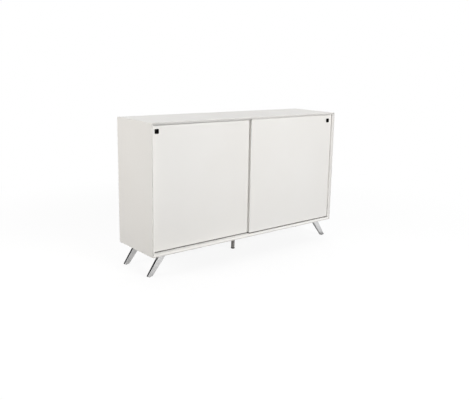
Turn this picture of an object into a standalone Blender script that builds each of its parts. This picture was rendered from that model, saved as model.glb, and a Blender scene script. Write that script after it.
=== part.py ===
"""Office cabinet: a low white sideboard with two bypass sliding doors on splayed cast legs.

Units are metres. +X runs along the width, -Y is the front, +Z is up.
The origin is on the floor, under the middle of the carcass.
The right door runs in the front lane, the left door in the rear lane behind it.
"""

import math

import bmesh
import bpy
from mathutils import Vector

# Overall sizes of the carcass and its stand height
CARCASS_WIDTH = 1.600
CARCASS_DEPTH = 0.425
CARCASS_HEIGHT = 0.835
STAND_HEIGHT = 0.143

# Boards: a mitred frame with a chamfer round the inside of its front edge
BOARD = 0.016
FRONT_LAND = 0.006
BACK_THICKNESS = 0.008
BACK_BEARING = 0.010

# Divider behind the rear door, and a shelf in each bay with its front edge further back
DIVIDER_CLEARANCE = 0.009
SHELF_INSET = 0.017
SHELF_THICKNESS = 0.018
SHELF_LEVEL = 0.391
SHELF_SIDE_CLEARANCE = 0.001
SHELF_BACK_CLEARANCE = 0.003

# Shelf pins, pressed into rows of blind holes in the sides and the divider
PIN_RADIUS = 0.0025
PIN_SINK = 0.0065
PIN_HEAD_RADIUS = 0.0035
PIN_HEAD_LENGTH = 0.009
PIN_HEAD_CHAMFER = 0.0007
PIN_FRONT_INSET = 0.050
PIN_BACK_INSET = 0.040
PIN_HOLE_PITCH = 0.032
SPARE_HOLES = 2

# Sliding doors
DOOR_THICKNESS = 0.016
DOOR_SETBACK = 0.018
LANE_GAP = 0.004
DOOR_OVERLAP = 0.023
DOOR_BOTTOM_GAP = 0.007
DOOR_TOP_GAP = 0.0015
EDGE_ARRIS = 0.0008

# Square finger pulls, let into the outer top corners of the doors
PULL_BODY = 0.0256
PULL_CORNER = 0.004
PULL_LIP = 0.0022
PULL_LIP_THICKNESS = 0.0008
PULL_WALL = 0.0014
PULL_SIDE_INSET = 0.0405
PULL_TOP_INSET = 0.040
DOOR_BEHIND_PULL = 0.0042

# Rollers under the doors, in housings let into the back of the bottom edge
ROLLER_RADIUS = 0.013
ROLLER_WIDTH = 0.005
ROLLER_HUB_RADIUS = 0.0045
ROLLER_RIM = 0.0025
ROLLER_CHAMFER = 0.0005
ROLLER_WEB_RECESS = 0.001
ROLLER_SIDE_CLEARANCE = 0.0005
ROLLER_TOP_CLEARANCE = 0.001
ROLLER_INSET = 0.075
AXLE_RADIUS = 0.002
AXLE_RUNNING_CLEARANCE = 0.0003
HOUSING_CHEEK = 0.0026
HOUSING_END_WALL = 0.012
HOUSING_TOP_WALL = 0.005
HOUSING_ARRIS = 0.0005
HOUSING_SCREW_RADIUS = 0.0022

# Guides on the top edge of the doors
GUIDE_LENGTH = 0.030
GUIDE_BLOCK_HEIGHT = 0.018
GUIDE_BLOCK_THICKNESS = 0.010
GUIDE_FIN_THICKNESS = 0.004
GUIDE_FIN_END_INSET = 0.002
GUIDE_FIN_ENGAGEMENT = 0.004

# White plastic tracks under and over the doors
LOWER_TRACK_FLOOR = 0.0015
LOWER_TRACK_RIB_HEIGHT = 0.002
LOWER_TRACK_RIB = 0.0015
LOWER_TRACK_SIDE_CLEARANCE = 0.0006
LOWER_TRACK_LIP = 0.003
UPPER_TRACK_CEILING = 0.0012
UPPER_TRACK_RIB_HEIGHT = 0.0068
UPPER_TRACK_RIB = 0.0012
UPPER_TRACK_SIDE_CLEARANCE = 0.001
UPPER_TRACK_LIP = 0.002

# Rubber bumpers let into the sides where the doors meet them
BUMPER_RADIUS = 0.005
BUMPER_THICKNESS = 0.003
BUMPER_PROUD = 0.0005
BUMPER_CHAMFER = 0.0007

# Cast legs: a tapered blade that leans out over the end of the carcass
LEG_TOP_OUTER_INSET = 0.086
LEG_TOP_WIDTH = 0.053
LEG_OUTER_SPLAY = 0.097
LEG_FOOT_WIDTH = 0.036
LEG_TOP_THICKNESS = 0.0235
LEG_FOOT_THICKNESS = 0.017
LEG_CENTRE_INSET = 0.064
LEG_OUTER_TOE_RADIUS = 0.003
LEG_INNER_TOE_RADIUS = 0.009
LEG_EDGE_RADIUS = 0.0015
LEG_FLANGE_THICKNESS = 0.005
LEG_FLANGE_MARGIN = 0.022
LEG_FLANGE_DEPTH = 0.070
LEG_FLANGE_CORNER = 0.010
LEG_SCREW_RADIUS = 0.0025
LEG_SCREW_EDGE = 0.010

# Glides pressed into the feet of the legs
GLIDE_RADIUS = 0.006
GLIDE_THICKNESS = 0.003
GLIDE_CHAMFER = 0.001
GLIDE_PEG_RADIUS = 0.0025
GLIDE_PEG_LENGTH = 0.008

# Support in the middle of the span, with a levelling foot
POST_RADIUS = 0.0125
POST_WALL = 0.003
POST_FLANGE_RADIUS = 0.030
POST_FLANGE_THICKNESS = 0.004
FOOT_RADIUS = 0.014
FOOT_THICKNESS = 0.008
FOOT_CHAMFER = 0.0012
SPINDLE_RADIUS = 0.005
SPINDLE_LENGTH = 0.060
SPINDLE_NUT_CLEARANCE = 0.0006
POST_NUT_LENGTH = 0.020

# Gap that stands between pieces that touch
FIT = 0.0003
# Segments round a turned or bored piece
ROUND = 24
SMALL_ROUND = 16
TINY_ROUND = 12

# Planes worked out from the sizes above
FRONT = -CARCASS_DEPTH / 2
REAR = CARCASS_DEPTH / 2
HALF_WIDTH = CARCASS_WIDTH / 2
INNER_HALF = HALF_WIDTH - BOARD
CARCASS_TOP = STAND_HEIGHT + CARCASS_HEIGHT
FLOOR_BOARD_TOP = STAND_HEIGHT + BOARD
TOP_BOARD_UNDERSIDE = CARCASS_TOP - BOARD
BACK_FACE = REAR - BACK_THICKNESS
BACK_REBATE_DEPTH = BACK_THICKNESS + FIT
FRONT_CHAMFER = BOARD - FRONT_LAND

DOOR_STOP = BUMPER_PROUD + FIT
DOOR_WIDTH = (2 * (INNER_HALF - DOOR_STOP) + DOOR_OVERLAP) / 2
DOOR_BOTTOM = FLOOR_BOARD_TOP + DOOR_BOTTOM_GAP
DOOR_TOP = TOP_BOARD_UNDERSIDE - DOOR_TOP_GAP
BUMPER_LEVEL = (DOOR_BOTTOM + DOOR_TOP) / 2
LANE_PITCH = DOOR_THICKNESS + LANE_GAP
DIVIDER_FRONT = FRONT + DOOR_SETBACK + LANE_PITCH + DOOR_THICKNESS + DIVIDER_CLEARANCE
SHELF_FRONT = DIVIDER_FRONT + SHELF_INSET
SHELF_TOP = FLOOR_BOARD_TOP + SHELF_LEVEL + SHELF_THICKNESS / 2
SHELF_UNDERSIDE = SHELF_TOP - SHELF_THICKNESS

PULL_FLANGE = PULL_BODY + 2 * PULL_LIP
PULL_DEPTH = DOOR_THICKNESS - DOOR_BEHIND_PULL - FIT

SLOT_WIDTH = ROLLER_WIDTH + 2 * ROLLER_SIDE_CLEARANCE
HOUSING_THICKNESS = SLOT_WIDTH + 2 * HOUSING_CHEEK
SLOT_LENGTH = 2 * (ROLLER_RADIUS + ROLLER_TOP_CLEARANCE)
HOUSING_LENGTH = SLOT_LENGTH + 2 * HOUSING_END_WALL
LOWER_TRACK_HEIGHT = LOWER_TRACK_FLOOR + LOWER_TRACK_RIB_HEIGHT
UPPER_TRACK_HEIGHT = UPPER_TRACK_CEILING + UPPER_TRACK_RIB_HEIGHT
LOWER_GROOVE_DEPTH = LOWER_TRACK_HEIGHT + FIT
UPPER_GROOVE_DEPTH = UPPER_TRACK_HEIGHT + FIT
RUNNING_SURFACE = FLOOR_BOARD_TOP - LOWER_GROOVE_DEPTH + FIT + LOWER_TRACK_FLOOR
ROLLER_CENTRE = RUNNING_SURFACE + FIT + ROLLER_RADIUS
SLOT_TOP = ROLLER_CENTRE + ROLLER_RADIUS + ROLLER_TOP_CLEARANCE
HOUSING_TOP = SLOT_TOP + HOUSING_TOP_WALL

# The running lane of a door lies on the middle of its roller housing
LANE_IN_DOOR = DOOR_THICKNESS - HOUSING_THICKNESS / 2
FRONT_LANE = FRONT + DOOR_SETBACK + LANE_IN_DOOR
REAR_LANE = FRONT_LANE + LANE_PITCH
LOWER_CHANNEL_HALF = ROLLER_WIDTH / 2 + LOWER_TRACK_SIDE_CLEARANCE
UPPER_CHANNEL_HALF = GUIDE_FIN_THICKNESS / 2 + UPPER_TRACK_SIDE_CLEARANCE
LOWER_TRACK_MARGIN = LOWER_CHANNEL_HALF + LOWER_TRACK_RIB + LOWER_TRACK_LIP
UPPER_TRACK_MARGIN = UPPER_CHANNEL_HALF + UPPER_TRACK_RIB + UPPER_TRACK_LIP

LEG_TOP = STAND_HEIGHT - FIT
LEG_SOLE = GLIDE_THICKNESS + FIT

# How far a cutter runs on past an open side
CUT_PAST = 0.010


def collection(name):
    """A new collection in the scene."""
    made = bpy.data.collections.new(name)
    bpy.context.scene.collection.children.link(made)
    return made


def material(name, colour, roughness, metallic=0.0):
    """A Principled material from a colour, a roughness and a metallic value."""
    made = bpy.data.materials.new(name)
    made.use_nodes = True
    shader = made.node_tree.nodes["Principled BSDF"]
    shader.inputs["Base Color"].default_value = (*colour, 1.0)
    shader.inputs["Roughness"].default_value = roughness
    shader.inputs["Metallic"].default_value = metallic
    made.diffuse_color = (*colour, 1.0)
    return made


def start():
    """Empties the scene and makes the two collections."""
    for obj in list(bpy.data.objects):
        bpy.data.objects.remove(obj, do_unlink=True)
    parts = collection("office_cabinet")
    cutters = collection("cutters")
    return parts, cutters


def place(obj, name, home):
    """Names an object and moves it into one collection."""
    obj.name = name
    obj.data.name = name
    for old in list(obj.users_collection):
        old.objects.unlink(obj)
    home.objects.link(obj)
    return obj


def as_cutter(obj, name):
    """Marks an object as a cutter, which is left out of the model."""
    place(obj, name, CUTTERS)
    obj.hide_render = True
    obj.display_type = "WIRE"
    return obj


def box(low, high):
    """A cube primitive stretched between two corners, with its scale applied."""
    low = Vector(low)
    high = Vector(high)
    bpy.ops.mesh.primitive_cube_add(size=1.0, location=(low + high) / 2)
    obj = bpy.context.object
    obj.scale = high - low
    bpy.ops.object.transform_apply(location=False, rotation=False, scale=True)
    return obj


def cylinder(radius, length, centre, axis, segments=ROUND):
    """A cylinder primitive about one of the three axes."""
    turn = {"X": (0.0, math.pi / 2, 0.0), "Y": (math.pi / 2, 0.0, 0.0), "Z": (0.0, 0.0, 0.0)}[axis]
    bpy.ops.mesh.primitive_cylinder_add(
        vertices=segments, radius=radius, depth=length, location=centre, rotation=turn
    )
    obj = bpy.context.object
    bpy.ops.object.transform_apply(location=False, rotation=True, scale=False)
    smooth_round(obj)
    return obj


def smooth_round(obj):
    """Smooth shading on round faces, with sharp edges kept sharp."""
    obj.data.shade_smooth()
    obj.data.set_sharp_from_angle(angle=math.radians(35))


def plate(outline, thickness):
    """A closed flat outline in the local XY plane, filled and extruded, as a welded mesh."""
    curve = bpy.data.curves.new("outline", "CURVE")
    curve.dimensions = "2D"
    curve.fill_mode = "BOTH"
    curve.extrude = thickness / 2
    spline = curve.splines.new("POLY")
    spline.points.add(len(outline) - 1)
    for point, (x, y) in zip(spline.points, outline):
        point.co = (x, y, 0.0, 1.0)
    spline.use_cyclic_u = True
    drawn = bpy.data.objects.new("outline", curve)
    bpy.context.scene.collection.objects.link(drawn)
    bpy.context.view_layer.update()
    ready = drawn.evaluated_get(bpy.context.evaluated_depsgraph_get())
    mesh = bpy.data.meshes.new_from_object(ready)
    bpy.data.objects.remove(drawn, do_unlink=True)
    shape = bmesh.new()
    shape.from_mesh(mesh)
    bmesh.ops.remove_doubles(shape, verts=shape.verts, dist=1e-6)
    bmesh.ops.dissolve_limit(
        shape, angle_limit=math.radians(0.1), verts=shape.verts, edges=shape.edges
    )
    bmesh.ops.recalc_face_normals(shape, faces=shape.faces)
    shape.to_mesh(mesh)
    shape.free()
    obj = bpy.data.objects.new("plate", mesh)
    bpy.context.scene.collection.objects.link(obj)
    return obj


def remap(obj, rule):
    """Sends each vertex to its place in the cabinet and puts the origin in the middle."""
    shape = bmesh.new()
    shape.from_mesh(obj.data)
    for vert in shape.verts:
        vert.co = rule(vert.co)
    if shape.calc_volume(signed=True) < 0:
        bmesh.ops.reverse_faces(shape, faces=shape.faces)
    low = Vector([min(vert.co[i] for vert in shape.verts) for i in range(3)])
    high = Vector([max(vert.co[i] for vert in shape.verts) for i in range(3)])
    middle = (low + high) / 2
    bmesh.ops.translate(shape, verts=shape.verts, vec=-middle)
    shape.to_mesh(obj.data)
    shape.free()
    obj.location = middle


def turned(profile, closed, segments=ROUND):
    """A profile in the local XZ plane, turned about local Z with a Screw modifier."""
    mesh = bpy.data.meshes.new("profile")
    points = [(radius, 0.0, height) for radius, height in profile]
    edges = [(i, i + 1) for i in range(len(points) - 1)]
    if closed:
        edges.append((len(points) - 1, 0))
    mesh.from_pydata(points, edges, [])
    obj = bpy.data.objects.new("turned", mesh)
    bpy.context.scene.collection.objects.link(obj)
    screw = obj.modifiers.new("turn", "SCREW")
    screw.steps = segments
    screw.render_steps = segments
    screw.use_merge_vertices = True
    screw.merge_threshold = 1e-5
    screw.use_smooth_shade = True
    return obj


def bevel(obj, width, segments, angle=30.0):
    """Rounds the sharp edges of a piece."""
    edge = obj.modifiers.new("edges", "BEVEL")
    edge.width = width
    edge.segments = segments
    edge.limit_method = "ANGLE"
    edge.angle_limit = math.radians(angle)
    return edge


def boolean(obj, other, operation):
    """Cuts or joins with another object by an exact Boolean."""
    step = obj.modifiers.new(operation.lower(), "BOOLEAN")
    step.operation = operation
    step.solver = "EXACT"
    step.object = other


def cut(obj, cutter, name):
    """Takes a cutter's shape out of a piece."""
    as_cutter(cutter, name)
    boolean(obj, cutter, "DIFFERENCE")


def join(obj, other, name):
    """Adds another shape to a piece."""
    as_cutter(other, name)
    boolean(obj, other, "UNION")


def finish(obj, name, look):
    """Puts a finished piece in the model with its own material."""
    place(obj, name, PARTS)
    obj.data.materials.clear()
    obj.data.materials.append(look)
    return obj


def carry(parent, children):
    """Parents pieces and their cutters to what carries them, and leaves them where they are."""
    bpy.context.view_layer.update()
    for obj in children:
        obj.parent = parent
        obj.matrix_parent_inverse = parent.matrix_world.inverted()


def made_since(before):
    """The objects that have been made since a list of them was taken."""
    return [obj for obj in bpy.data.objects if obj not in before]


def rounded_square(side, corner, steps=4):
    """Outline of a square with round corners, about its own centre."""
    reach = side / 2 - corner
    outline = []
    for quarter, (sx, sy) in enumerate(((1, 1), (-1, 1), (-1, -1), (1, -1))):
        for i in range(steps + 1):
            angle = math.radians(90 * (quarter + i / steps))
            x = sx * reach + corner * math.cos(angle)
            y = sy * reach + corner * math.sin(angle)
            outline.append((x, y))
    return outline


def capsule(length, width, steps=6):
    """Outline of a strip with half-round ends, about its own centre."""
    radius = width / 2
    reach = length / 2 - radius
    outline = []
    for end in (1, -1):
        for i in range(steps + 1):
            angle = math.pi * (i / steps - 0.5)
            outline.append((end * (reach + radius * math.cos(angle)), end * radius * math.sin(angle)))
    return outline


def fillet(before, corner, after, radius, steps=5):
    """Points of an arc of the given radius that rounds one corner of an outline."""
    before, corner, after = Vector(before), Vector(corner), Vector(after)
    inward = (before - corner).normalized()
    onward = (after - corner).normalized()
    half = inward.angle(onward) / 2
    centre = corner + (inward + onward).normalized() * (radius / math.sin(half))
    first = corner + inward * (radius / math.tan(half)) - centre
    last = corner + onward * (radius / math.tan(half)) - centre
    sweep = first.angle_signed(last)
    arc = []
    for i in range(steps + 1):
        turn = -sweep * i / steps
        x = first.x * math.cos(turn) - first.y * math.sin(turn)
        y = first.x * math.sin(turn) + first.y * math.cos(turn)
        arc.append((centre.x + x, centre.y + y))
    return arc


def board_outline(groove):
    """Section of a frame board: (depth from the front, depth below its outer face)."""
    rebate_start = CARCASS_DEPTH - BACK_REBATE_DEPTH
    outline = [(0.0, 0.0), (0.0, BOARD - FRONT_CHAMFER), (FRONT_CHAMFER, BOARD)]
    if groove:
        first, last, depth = groove
        outline += [(first, BOARD), (first, BOARD - depth)]
        outline += [(last, BOARD - depth), (last, BOARD)]
    outline += [(rebate_start, BOARD), (rebate_start, BOARD - BACK_BEARING)]
    outline += [(CARCASS_DEPTH, BOARD - BACK_BEARING), (CARCASS_DEPTH, 0.0)]
    return outline


def frame_board(length, groove, send):
    """One board of the mitred frame.

    Its ends slide along it by their depth below the outer face, which makes the mitres.
    The rule send takes (distance along, depth from the front, depth below the outer face)
    to the place of that point in the cabinet.
    """
    obj = plate(board_outline(groove), length)
    setback = FIT * math.sqrt(0.5)

    def mitre(point):
        end = length / 2 - point.y - setback
        along = math.copysign(end, point.z)
        return Vector(send(along, point.x, point.y))

    remap(obj, mitre)
    return obj


def groove_span(margin):
    """Front and back of a track groove, as depths from the front of the carcass."""
    first = FRONT_LANE - margin - FIT - FRONT
    last = REAR_LANE + margin + FIT - FRONT
    return first, last


def make_frame():
    """Top, bottom and both sides: four boards mitred at the corners."""
    upper = (*groove_span(UPPER_TRACK_MARGIN), UPPER_GROOVE_DEPTH)
    lower = (*groove_span(LOWER_TRACK_MARGIN), LOWER_GROOVE_DEPTH)
    middle = STAND_HEIGHT + CARCASS_HEIGHT / 2
    top = frame_board(
        CARCASS_WIDTH, upper, lambda along, back, deep: (along, FRONT + back, CARCASS_TOP - deep)
    )
    bottom = frame_board(
        CARCASS_WIDTH, lower, lambda along, back, deep: (along, FRONT + back, STAND_HEIGHT + deep)
    )
    finish(top, "top_panel", WHITE_TOP)
    finish(bottom, "bottom_panel", WHITE_BOTTOM)
    for name, side, look in SIDES:
        upright = frame_board(
            CARCASS_HEIGHT,
            None,
            lambda along, back, deep: (side * (HALF_WIDTH - deep), FRONT + back, middle + along),
        )
        bore_for_pins(upright, name, side * INNER_HALF, side)
        seat_bumpers(upright, name, side)
        finish(upright, name + "_side_panel", look)


def pin_depths():
    """Where the shelf pins stand, front and back."""
    shelf_back = BACK_FACE - SHELF_BACK_CLEARANCE
    return (("front", SHELF_FRONT + PIN_FRONT_INSET), ("back", shelf_back - PIN_BACK_INSET))


def pin_height():
    """Height of the pins' centre line, just under the shelf."""
    return SHELF_UNDERSIDE - FIT - PIN_HEAD_RADIUS


def bore_for_pins(obj, name, face, into):
    """Two rows of blind holes in the upright whose face is given, for two shelf pins."""
    lowest = pin_height() - SPARE_HOLES * PIN_HOLE_PITCH
    for place_name, depth in pin_depths():
        reach = PIN_SINK + FIT
        centre = face + into * (reach - CUT_PAST) / 2
        hole = cylinder(PIN_RADIUS + FIT, reach + CUT_PAST, (centre, depth, lowest), "X", TINY_ROUND)
        row = hole.modifiers.new("row", "ARRAY")
        row.count = 2 * SPARE_HOLES + 1
        row.use_relative_offset = False
        row.use_constant_offset = True
        row.constant_offset_displace = (0.0, 0.0, PIN_HOLE_PITCH)
        cut(obj, hole, f"pin_holes_{name}_{place_name}_{'right' if into > 0 else 'left'}")


def make_back():
    """Back panel, seated in the rebates of the four frame boards."""
    across = INNER_HALF + BACK_BEARING - FIT
    low = FLOOR_BOARD_TOP - BACK_BEARING + FIT
    high = TOP_BOARD_UNDERSIDE + BACK_BEARING - FIT
    obj = box((-across, BACK_FACE, low), (across, REAR, high))
    finish(obj, "back_panel", WHITE_BACK)


def make_divider():
    """Upright in the middle, set back so that the rear door passes in front of it."""
    obj = box(
        (-BOARD / 2, DIVIDER_FRONT, FLOOR_BOARD_TOP + FIT),
        (BOARD / 2, BACK_FACE - FIT, TOP_BOARD_UNDERSIDE - FIT),
    )
    for name, side, _ in SIDES:
        bore_for_pins(obj, "divider", side * BOARD / 2, -side)
    finish(obj, "centre_divider", WHITE_DIVIDER)


def make_shelves():
    """One shelf in each bay, lying on four pins."""
    near = BOARD / 2 + SHELF_SIDE_CLEARANCE
    far = INNER_HALF - SHELF_SIDE_CLEARANCE
    for name, side, _ in SIDES:
        ends = sorted((side * near, side * far))
        obj = box(
            (ends[0], SHELF_FRONT, SHELF_UNDERSIDE),
            (ends[1], BACK_FACE - SHELF_BACK_CLEARANCE, SHELF_TOP),
        )
        bevel(obj, EDGE_ARRIS, 1)
        finish(obj, name + "_shelf", SHELF_LOOKS[name])


def make_shelf_pins():
    """Eight turned pins: a thin shank in the upright and a head that the shelf lies on."""
    profile = [
        (0.0, PIN_HEAD_LENGTH),
        (PIN_HEAD_RADIUS - PIN_HEAD_CHAMFER, PIN_HEAD_LENGTH),
        (PIN_HEAD_RADIUS, PIN_HEAD_LENGTH - PIN_HEAD_CHAMFER),
        (PIN_HEAD_RADIUS, FIT),
        (PIN_RADIUS, FIT),
        (PIN_RADIUS, -PIN_SINK),
        (0.0, -PIN_SINK),
    ]
    for name, side, _ in SIDES:
        for wall, face, facing in (
            ("outer", side * INNER_HALF, -side),
            ("inner", side * BOARD / 2, side),
        ):
            for place_name, depth in pin_depths():
                obj = turned(profile, closed=False, segments=TINY_ROUND)
                obj.location = (face, depth, pin_height())
                obj.rotation_euler = (0.0, facing * math.pi / 2, 0.0)
                finish(obj, f"shelf_pin_{name}_{wall}_{place_name}", STEEL_PIN)


def track_outline(floor, rib, rib_height, channel_half, margin):
    """Section of a double track: two channels between ribs on a common floor."""
    outline = [(FRONT_LANE - margin, 0.0), (REAR_LANE + margin, 0.0), (REAR_LANE + margin, floor)]
    for lane in (REAR_LANE, FRONT_LANE):
        for inner, outer in ((channel_half, channel_half + rib), (-channel_half - rib, -channel_half)):
            high, low = max(inner, outer), min(inner, outer)
            outline += [(lane + high, floor), (lane + high, floor + rib_height)]
            outline += [(lane + low, floor + rib_height), (lane + low, floor)]
    outline.append((FRONT_LANE - margin, floor))
    return outline


def make_tracks():
    """Plastic double tracks, one let into the bottom board and one into the top board."""
    length = 2 * (INNER_HALF - FIT)
    lower = plate(
        track_outline(
            LOWER_TRACK_FLOOR,
            LOWER_TRACK_RIB,
            LOWER_TRACK_RIB_HEIGHT,
            LOWER_CHANNEL_HALF,
            LOWER_TRACK_MARGIN,
        ),
        length,
    )
    base = FLOOR_BOARD_TOP - LOWER_TRACK_HEIGHT
    remap(lower, lambda point: Vector((point.z, point.x, base + point.y)))
    finish(lower, "lower_track", WHITE_LOWER_TRACK)
    upper = plate(
        track_outline(
            UPPER_TRACK_CEILING,
            UPPER_TRACK_RIB,
            UPPER_TRACK_RIB_HEIGHT,
            UPPER_CHANNEL_HALF,
            UPPER_TRACK_MARGIN,
        ),
        length,
    )
    ceiling = TOP_BOARD_UNDERSIDE + UPPER_TRACK_HEIGHT
    remap(upper, lambda point: Vector((point.z, point.x, ceiling - point.y)))
    finish(upper, "upper_track", WHITE_UPPER_TRACK)


def bumper_depths():
    """Where the bumpers stand in each lane, on the middle of the door's end."""
    middle_of_door = DOOR_THICKNESS / 2 - LANE_IN_DOOR
    return (("front", FRONT_LANE + middle_of_door), ("rear", REAR_LANE + middle_of_door))


def seat_bumpers(upright, name, side):
    """Two shallow round seats in the inner face of a side board."""
    reach = BUMPER_THICKNESS - BUMPER_PROUD + FIT
    x = side * (INNER_HALF + (reach - CUT_PAST) / 2)
    for lane_name, depth in bumper_depths():
        seat = cylinder(
            BUMPER_RADIUS + FIT, reach + CUT_PAST, (x, depth, BUMPER_LEVEL), "X", SMALL_ROUND
        )
        cut(upright, seat, f"bumper_seat_{name}_{lane_name}")


def make_bumpers():
    """A rubber bumper in each side board for each lane, just proud, for the doors to stop at."""
    for name, side, _ in SIDES:
        x = side * (INNER_HALF - BUMPER_PROUD + BUMPER_THICKNESS / 2)
        for lane_name, depth in bumper_depths():
            obj = cylinder(
                BUMPER_RADIUS, BUMPER_THICKNESS, (x, depth, BUMPER_LEVEL), "X", SMALL_ROUND
            )
            bevel(obj, BUMPER_CHAMFER, 1)
            finish(obj, f"bumper_{name}_{lane_name}_lane", RUBBER)


def make_door(name, side, lane, look):
    """A door with its pull, two roller housings, two rollers on axles and two top guides."""
    before = list(bpy.data.objects)
    face = lane - LANE_IN_DOOR
    back = face + DOOR_THICKNESS
    outer = side * (INNER_HALF - DOOR_STOP)
    inner = outer - side * DOOR_WIDTH
    ends = sorted((outer, inner))
    panel = box((ends[0], face, DOOR_BOTTOM), (ends[1], back, DOOR_TOP))
    bevel(panel, EDGE_ARRIS, 2)
    pull_at = (outer - side * PULL_SIDE_INSET, DOOR_TOP - PULL_TOP_INSET)
    make_pull(name, panel, face, pull_at)
    stations = (("outer", outer - side * ROLLER_INSET), ("inner", inner + side * ROLLER_INSET))
    for end, x in stations:
        make_roller_set(name, end, panel, lane, back, x)
        make_guide(name, end, panel, lane, back, x)
    carry(panel, [obj for obj in made_since(before) if obj is not panel])
    finish(panel, name + "_door", look)


def facing_front(obj, face, centre):
    """Stands a plate made in XY up so that it faces the front, its middle at the given place."""
    x, z = centre
    remap(obj, lambda point: Vector((x + point.x, face + point.z, z + point.y)))


def make_pull(name, panel, face, centre):
    """Square cup let into the door, with a thin flange that lies on the door's face."""
    cup_length = PULL_DEPTH + FIT + PULL_LIP_THICKNESS
    cup = plate(rounded_square(PULL_BODY, PULL_CORNER), cup_length)
    facing_front(cup, face + PULL_DEPTH - cup_length / 2, centre)
    flange = plate(rounded_square(PULL_FLANGE, PULL_CORNER + PULL_LIP), PULL_LIP_THICKNESS)
    facing_front(flange, face - FIT - PULL_LIP_THICKNESS / 2, centre)
    hollow = plate(rounded_square(PULL_BODY - 2 * PULL_WALL, PULL_CORNER - PULL_WALL), cup_length)
    facing_front(hollow, face + PULL_DEPTH - PULL_WALL - cup_length / 2, centre)
    join(cup, flange, name + "_pull_flange")
    cut(cup, hollow, name + "_pull_hollow")
    pocket_length = PULL_DEPTH + FIT + CUT_PAST
    pocket = plate(rounded_square(PULL_BODY + 2 * FIT, PULL_CORNER + FIT), pocket_length)
    facing_front(pocket, face + PULL_DEPTH + FIT - pocket_length / 2, centre)
    cut(panel, pocket, name + "_pull_pocket")
    finish(cup, name + "_door_pull", BLACK_PULL)


def make_roller_set(name, end, panel, lane, back, x):
    """Housing, axle and roller at one lower corner of a door, and their pocket in the door."""
    label = f"{name}_door_{end}"
    half = HOUSING_LENGTH / 2
    front = back - HOUSING_THICKNESS
    housing = box((x - half, front, DOOR_BOTTOM), (x + half, back, HOUSING_TOP))
    bevel(housing, HOUSING_ARRIS, 1)
    slot = box(
        (x - SLOT_LENGTH / 2, lane - SLOT_WIDTH / 2, DOOR_BOTTOM - CUT_PAST),
        (x + SLOT_LENGTH / 2, lane + SLOT_WIDTH / 2, SLOT_TOP),
    )
    cut(housing, slot, label + "_roller_slot")
    bore = cylinder(
        AXLE_RADIUS + FIT, HOUSING_THICKNESS + 2 * CUT_PAST, (x, lane, ROLLER_CENTRE), "Y", SMALL_ROUND
    )
    cut(housing, bore, label + "_axle_bore")
    for side in (-1, 1):
        screw_x = x + side * (half - HOUSING_END_WALL / 2)
        screw = cylinder(
            HOUSING_SCREW_RADIUS,
            HOUSING_THICKNESS + 2 * CUT_PAST,
            (screw_x, lane, (DOOR_BOTTOM + HOUSING_TOP) / 2),
            "Y",
            SMALL_ROUND // 2,
        )
        cut(housing, screw, f"{label}_screw_{'right' if side > 0 else 'left'}")
    finish(housing, label + "_roller_housing", GREY_HOUSING)

    pocket = box(
        (x - half - FIT, front - FIT, DOOR_BOTTOM - CUT_PAST),
        (x + half + FIT, back + CUT_PAST, HOUSING_TOP + FIT),
    )
    cut(panel, pocket, label + "_housing_pocket")

    axle = cylinder(AXLE_RADIUS, HOUSING_THICKNESS, (x, lane, ROLLER_CENTRE), "Y", SMALL_ROUND)
    finish(axle, label + "_axle", STEEL_AXLE)

    wheel = turned(roller_profile(), closed=True)
    wheel.location = (x, lane, ROLLER_CENTRE)
    wheel.rotation_euler = (math.pi / 2, 0.0, 0.0)
    finish(wheel, label + "_roller", NYLON)


def roller_profile():
    """Half section of a roller: bore, hub, thin web and a rim with chamfered edges."""
    half = ROLLER_WIDTH / 2
    web = half - ROLLER_WEB_RECESS
    bore = AXLE_RADIUS + AXLE_RUNNING_CLEARANCE
    rim = ROLLER_RADIUS - ROLLER_RIM
    upper = [
        (ROLLER_RADIUS, half - ROLLER_CHAMFER),
        (ROLLER_RADIUS - ROLLER_CHAMFER, half),
        (rim, half),
        (rim, web),
        (ROLLER_HUB_RADIUS, web),
        (ROLLER_HUB_RADIUS, half),
        (bore, half),
    ]
    lower = [(radius, -height) for radius, height in reversed(upper)]
    return list(reversed(upper + lower))


def make_guide(name, end, panel, lane, back, x):
    """Plastic guide let into the top edge of a door, its fin standing up into the track."""
    label = f"{name}_door_{end}"
    half = GUIDE_LENGTH / 2
    front = back - GUIDE_BLOCK_THICKNESS
    guide = box((x - half, front, DOOR_TOP - GUIDE_BLOCK_HEIGHT), (x + half, back, DOOR_TOP))
    fin_top = TOP_BOARD_UNDERSIDE + GUIDE_FIN_ENGAGEMENT
    fin_bottom = DOOR_TOP - GUIDE_BLOCK_HEIGHT / 2
    fin_length = GUIDE_LENGTH - 2 * GUIDE_FIN_END_INSET
    fin = plate(capsule(fin_length, GUIDE_FIN_THICKNESS), fin_top - fin_bottom)
    middle = (fin_top + fin_bottom) / 2
    remap(fin, lambda point: Vector((x + point.x, lane + point.y, middle + point.z)))
    join(guide, fin, label + "_guide_fin")
    finish(guide, label + "_top_guide", WHITE_GUIDE)
    pocket = box(
        (x - half - FIT, front - FIT, DOOR_TOP - GUIDE_BLOCK_HEIGHT - FIT),
        (x + half + FIT, back + CUT_PAST, DOOR_TOP + CUT_PAST),
    )
    cut(panel, pocket, label + "_guide_pocket")


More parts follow.
